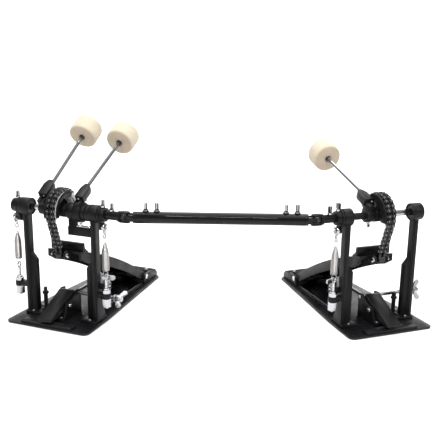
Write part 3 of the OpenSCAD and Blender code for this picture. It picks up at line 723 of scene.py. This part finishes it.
def clamp_screw(side):
    """Wing screw of the hoop clamp."""
    start = -7 * MIRROR[side] - 17.5
    wing = WING_X[side]
    at = move(0, CLAMP_SCREW_Y, CLAMP_SCREW_Z)
    bm = bmesh.new()
    lathe(bm, [(0, start), (3.0, start), (3.0, wing - 34), (0, wing - 34)], 20, at @ ALONG_X)
    threaded_rod(bm, 3.3, 38, at @ move(wing - 36, 0, 0) @ ALONG_X, 0, 1.2)
    lathe(bm, [(0, wing - 8), (5.6, wing - 8), (6.0, wing - 7.4), (6.0, wing - 5.6), (5.6, wing - 5),
               (0, wing - 5)], 28, at @ ALONG_X)
    wing_nut(bm, at @ move(wing - 3, 0, 0) @ ALONG_X @ turn_z(WING_TURN[side]))
    finish_piece(f"{side}_wing_screw", bm, PEDAL[side], [STEEL], f"{side}_clamp_screw",
                 [f"{side}_hoop_screw"], 30)


def foot_screws(side):
    """Screws that hold the posts, clamp and heel plate to the base plate."""
    bm = bmesh.new()
    mirror = MIRROR[side]
    for x in POST_X[side]:
        inboard = x - math.copysign(9, x)
        for y in (-8.5, 18):
            socket_screw(bm, move(inboard, y, PLATE_TOP_Z), 2.6, 2.0)
    for s in (-1, 1):
        socket_screw(bm, move(s * HEEL_SCREW[0], HEEL_SCREW[1], HEEL_TOP_Z), 3.4, 2.0)
    for x in (-16.8, 2.8):
        socket_screw(bm, move(mirror * x, -18, PLATE_TOP_Z), 2.4, 2.0)
    for s in (-1, 1):
        socket_screw(bm, move(mirror * -7 + s * 17.2, *JAW_PIVOT) @ turn_y(90 * s), 4.0, 2.2)
    finish_piece(f"{side}_foot_screws", bm, PEDAL[side], [STEEL], f"{side}_frame", (), 30)


def axle_sleeve():
    """Black sleeve on the auxiliary axle between the inner housing and the beater clamp."""
    bm = bmesh.new()
    lathe(bm, [(5.0, -53.2), (5.5, -53.0), (5.6, -52.6), (5.6, -30.4), (5.5, -30.0), (5.0, -29.8)], 32,
          move(0, 0, AXLE_Z) @ ALONG_X)
    finish_piece("aux_axle_sleeve", bm, PEDAL["aux"], [CAST], "aux_cam_axle", (), 40)


def drum_key(side):
    """Drum key held by a clip on the inner post."""
    sign = MIRROR[side]
    x, y = (SPRING_INNER_X - 3.5) * sign, 13.5
    bm = bmesh.new()
    at = move(x, y, 58)
    lathe(bm, [(0, 0), (3.0, 0), (3.4, 0.6), (3.4, 11), (2.8, 12.5), (2.8, 15), (0, 15)], 20, at)
    prism(bm, [(-11, 16.5), (-8, 14.2), (8, 14.2), (11, 16.5), (11, 20.5), (8.5, 22.2), (-8.5, 22.2),
               (-11, 20.5)], 3.6, 0.8, at @ turn_z(18) @ turn_x(90))
    finish_piece(f"{side}_drum_key", bm, PEDAL[side], [STEEL], f"{side}_frame", (), 35)
    bm = bmesh.new()
    for z in (60, 66):
        sweep(bm, [(px, py, z) for px, py in arc(x, y, 4.3, -60, 240, 20)], 0.8, 8)
    rounded_box(bm, (11.0, 1.8, 10), (x - sign * 9.0, y - 7.6, 63), 0.4)
    rounded_box(bm, (1.8, 6.0, 10), (x - sign * 4.4, y - 5.4, 63), 0.4)
    finish_piece(f"{side}_key_clip", bm, PEDAL[side], [COAT], f"{side}_frame", (), 35)


def rail_reflection_strips(side):
    """Painted reflection: bright steel strips on the two rails of the base plate, standing in for the glossy
    rails' glancing reflection of the white backdrop.
    """
    bm = bmesh.new()
    for s in (-1, 1):
        # painted reflection of the backdrop along each rail
        rounded_box(bm, (2.4, 128, 0.7), (-6 * MIRROR[side] + s * 44, 124, 5.2), 0.25)
    finish_piece(f"{side}_rail_reflection_strips", bm, PEDAL[side], [STEEL], f"{side}_frame", (), 35)


def heel_grip(side):
    """Rows of small pyramids over the heel plate's top."""
    bm = bmesh.new()
    for row in range(6):
        for k in range(27):
            x = (k - 13) * 3.1 + (0.8 if row % 2 else -0.8)
            y = 223.5 + row * 2.6
            if math.hypot(abs(x) - HEEL_SCREW[0], y - HEEL_SCREW[1]) < 4.6:
                continue
            lathe(bm, [(1.25, -0.2), (1.1, 0.2), (0.35, 1.3), (0, 1.35)], 6, move(x, y, HEEL_TOP_Z))
    finish_piece(f"{side}_heel_grip", bm, PEDAL[side], [COAT], f"{side}_frame", (), 20)


def skin(bm, rings):
    """Closes a row of equal rings of vertices into one solid strip."""
    n = len(rings[0])
    for a, b in zip(rings, rings[1:]):
        for k in range(n):
            bm.faces.new((a[k], a[(k + 1) % n], b[(k + 1) % n], b[k]))
    bm.faces.new(rings[0])
    bm.faces.new(list(reversed(rings[-1])))


def rim_section(bm, degrees, section):
    """Vertices of an (x, radius) section of the cam's rim at an angle around the axle."""
    c, sn = math.cos(math.radians(degrees)), math.sin(math.radians(degrees))
    return [bm.verts.new((x, r * c, AXLE_Z + r * sn)) for x, r in section]


def cam_felt(side):
    """Felt liner around the cam's rim, thicker past the end of the chain, and two pads at its rear."""
    bm = bmesh.new()
    first, last, steps, inner = -20.0, 200.0, 96, 29.0
    rings = []
    for i in range(steps + 1):
        a = first + (last - first) * i / steps
        thick = 2.4 if a < 40 else 0.5 + 1.9 * max(0.0, 1 - (a - 40) / 8)
        outer = inner + 0.05 + thick
        rings.append(rim_section(bm, a, ((-8.2, inner), (-8.2, outer - 0.3), (-7.7, outer), (7.7, outer),
                                         (8.2, outer - 0.3), (8.2, inner))))
    skin(bm, rings)
    # on the inside of the rim, then on its open side
    for section in (((-3.6, 22.95), (-3.6, 21.3), (-3.1, 20.8), (8.4, 20.8), (8.9, 21.3), (8.9, 22.95)),
                    ((10.0, 23.4), (10.7, 23.4), (11.0, 23.8), (11.0, 29.6), (10.7, 30.0), (10.0, 30.0))):
        skin(bm, [rim_section(bm, -4 + 62 * i / 18, section) for i in range(19)])
    finish_piece(f"{side}_cam_liner", bm, PEDAL[side], [CAM_FELT], f"{side}_cam_axle", (), 50)


# ------------------------------------------------------------------ tread grip
def board_z(y):
    """Height of the footboard's tread."""
    share = (HINGE_Y - y) / (HINGE_Y - BOARD_TOE_Y)
    return HINGE_Z + 8 + BOARD_RISE * share * (1.35 - 0.35 * share)


def toe_share(y):
    """How far y is into the footboard's narrower toe: 0 at its start, 1 for each 49 mm."""
    return max(0.0, 75 - y) / 49


def tread_grip(side):
    """Raised studs in staggered rows and two border ribs that follow the tread."""
    bm = bmesh.new()
    for row in range(15):
        y = 36 + row * 10.5
        slope = math.degrees(math.atan2(board_z(y + 1) - board_z(y - 1), 2))
        count = 5 if row % 2 else 6
        for k in range(count):
            x = (k - (count - 1) / 2) * (11.0 - 2.0 * toe_share(y))
            at = move(x, y, board_z(y)) @ turn_x(slope)
            lathe(bm, [(3.4, -0.3), (3.3, 0.5), (2.7, 1.1), (1.5, 1.2), (1.1, 0.8), (0, 0.7)], 18, at)
    for s in (-1, 1):
        path = [(s * (35.5 - 9 * toe_share(y)), y, board_z(y) + 0.2) for y in range(32, 196, 4)]
        sweep(bm, path, 1.1, 8)
    finish_piece(f"{side}_tread_grip", bm, PEDAL[side], [COAT], f"{side}_board", (), 35)


# ------------------------------------------------------------------ carried-over CAD nodes
def node_material(name):
    """Main material of a CAD node."""
    if "base_plate" in name:
        return PLATE_COAT
    if name.startswith("link_"):
        return GLOSS
    if name.endswith("_beater_rod"):
        # the main and second rods take the darker copy, painted shade
        return ROD_CHROME if name.startswith("aux") else ROD_SHADED_CHROME
    if name.endswith(("main_axle", "_hinge_pin")):
        return CHROME
    # bearings take the near-black painted shade of their recesses
    if name.endswith("_bearings"):
        return BEARING_RECESS_SHADE
    if name.endswith(("_footboard", "_toe_stop", "_heel_plate")):
        return COAT
    return CAST


def chrome_face(name, at):
    """Whether a face of a black node belongs to its chrome pin, bolt or shaft, by its place in the pedal."""
    x, y, z = abs(at.x), at.y, at.z
    if name.endswith("_footboard"):
        return x < 14.6 and math.hypot(y - TOE_BOLT[0], z - TOE_BOLT[1]) < 3.7 and not (9 < x < 12)
    if name.endswith("_rocker"):
        on_pin = math.hypot(y, z - AXLE_Z + ROCKER_R) < 4.3
        return on_pin and x > (HEAD_OUTER + 7.1 if name.startswith("main") else HEAD_INNER + 3.6)
    if name == "second_hub":
        return math.hypot(y, z - AXLE_Z + WEIGHT_PIN_DROP) < 2.2 and x > 27.3
    if name.endswith("_hoop_bracket"):
        return math.hypot(y - JAW_PIVOT[0], z - JAW_PIVOT[1]) < 2.6 and x > 16
    # the auxiliary axle: bare past the cam, and between the inner housing and the sleeve
    return at.x > 8 or -HEAD_INNER < at.x < -53


TWO_TONE = ("_footboard", "_rocker", "second_hub", "_hoop_bracket", "aux_axle")
EDGE = 0.4                   # softening of an edge in millimetres, unless a name below gives its own
SOFT_EDGES = {"_footboard": 0.5, "_post_left": 0.7, "_post_right": 0.7, "_beater_clamp": 0.9,
              "_hoop_jaw": 0.8, "_toe_stop": 0.5, "_heel_plate": 0.8}


def dress_nodes():
    """Materials and softened edges of the CAD nodes that stay visible."""
    for name, obj in frame["nodes"].items():
        if obj.hide_render:
            continue
        mesh = obj.data
        mesh.materials.clear()
        mesh.materials.append(node_material(name))
        if name.endswith(TWO_TONE):
            mesh.materials.append(CHROME)
            side = "aux" if name.startswith("aux") else "main"
            to_pedal = PEDAL[side].inverted() @ obj.matrix_world
            for face in mesh.polygons:
                face.material_index = int(chrome_face(name, to_pedal @ face.center))
        mesh.polygons.foreach_set("use_smooth", [True] * len(mesh.polygons))
        weld = obj.modifiers.new("weld", "WELD")
        weld.merge_threshold = 0.00001
        bevel = obj.modifiers.new("bevel", "BEVEL")
        bevel.width = MM * next((w for end, w in SOFT_EDGES.items() if name.endswith(end)), EDGE)
        bevel.segments = 2
        bevel.limit_method = "ANGLE"
        bevel.angle_limit = math.radians(28)
        bevel.harden_normals = True
        bevel.use_clamp_overlap = True


# ------------------------------------------------------------------ studio
CAMERA_AT = (0.0032, -1.2100, 0.4609)
CAMERA_YAW, CAMERA_PITCH, CAMERA_ROLL = -0.003, 0.254, 0.014
CAMERA_LENS = 59.3
WORLD_STRENGTH = 0.42
KEY_LIGHT_HEIGHT = 0.035     # a narrow strip, for the thin highlights along the tube
# name, place, aim, width and watts
LIGHTS = (("top_light", (0.0, 0.1, 2.4), (0, 0.1, 0), 3.0, 62),
          ("back_light", (0.0, 0.9, 2.6), (0, 2.7, 0.9), 2.0, 75),
          ("key_light", (0.0, -1.55, 1.6), (0, 0, 0.15), 1.7, 24),
          ("rim_light", (1.5, -0.9, 1.2), (0, 0, 0.1), 0.6, 6))


def place_camera():
    """Camera at the photograph's angle."""
    camera = bpy.data.cameras.new("camera")
    camera.sensor_width = 36
    camera.lens = CAMERA_LENS
    camera.clip_end = 20
    obj = bpy.data.objects.new("camera", camera)
    bpy.context.scene.collection.objects.link(obj)
    yaw, pitch, roll = CAMERA_YAW, CAMERA_PITCH, CAMERA_ROLL
    ahead = Vector((math.sin(yaw) * math.cos(pitch), math.cos(yaw) * math.cos(pitch), -math.sin(pitch)))
    right = Vector((math.cos(yaw), -math.sin(yaw), 0))
    up = right.cross(ahead)
    turned = right * math.cos(roll) + up * math.sin(roll)
    lifted = up * math.cos(roll) - right * math.sin(roll)
    matrix = Matrix((turned, lifted, -ahead)).transposed().to_4x4()
    matrix.translation = Vector(CAMERA_AT)
    obj.matrix_world = matrix
    bpy.context.scene.camera = obj


def lay_floor():
    """Pale floor that curves up into a backdrop behind the pedals."""
    bm = bmesh.new()
    half, back, bend = 6.0, 1.6, 1.2
    line = [(-3.0, 0.0)] + arc(back, bend, bend, -90, 0, 15) + [(back + bend, 5.0)]
    rows = [[bm.verts.new((x, y, z)) for y, z in line] for x in (-half, half)]
    for k in range(len(line) - 1):
        bm.faces.new((rows[0][k], rows[1][k], rows[1][k + 1], rows[0][k + 1])).smooth = True
    mesh = bpy.data.meshes.new("floor")
    bm.to_mesh(mesh)
    bm.free()
    floor = bpy.data.objects.new("floor", mesh)
    mesh.materials.append(FLOOR)
    floor.location.z = cad_low.z - 0.0002
    bpy.context.scene.collection.objects.link(floor)


def set_lights():
    world = bpy.data.worlds.new("studio")
    bpy.context.scene.world = world
    world.use_nodes = True
    background = world.node_tree.nodes["Background"]
    background.inputs["Color"].default_value = (1, 1, 1, 1)
    background.inputs["Strength"].default_value = WORLD_STRENGTH
    for name, place, aim, size, power in LIGHTS:
        light = bpy.data.lights.new(name, "AREA")
        light.size = size
        if name == "key_light":
            light.shape = "RECTANGLE"
            light.size_y = KEY_LIGHT_HEIGHT
        light.energy = power
        lamp = bpy.data.objects.new(name, light)
        lamp.location = place
        lamp.rotation_mode = "QUATERNION"
        lamp.rotation_quaternion = (Vector(aim) - Vector(place)).to_track_quat("-Z", "Y")
        bpy.context.scene.collection.objects.link(lamp)
    bpy.context.scene.view_settings.view_transform = "Standard"


place_camera()
lay_floor()
set_lights()
chains()
springs()
spring_links()
for beater in BEATERS:
    beater_felt(beater)
    beater_hardware(beater)
    clamp_bolts(beater)
rocker_bolts()
link_bolts()
axle_sleeve()
for pedal in PEDAL:
    frame_screws(pedal)
    clamp_screw(pedal)
    foot_screws(pedal)
    cam_felt(pedal)
    tread_grip(pedal)
    heel_grip(pedal)
    rail_reflection_strips(pedal)
    drum_key(pedal)
dress_nodes()
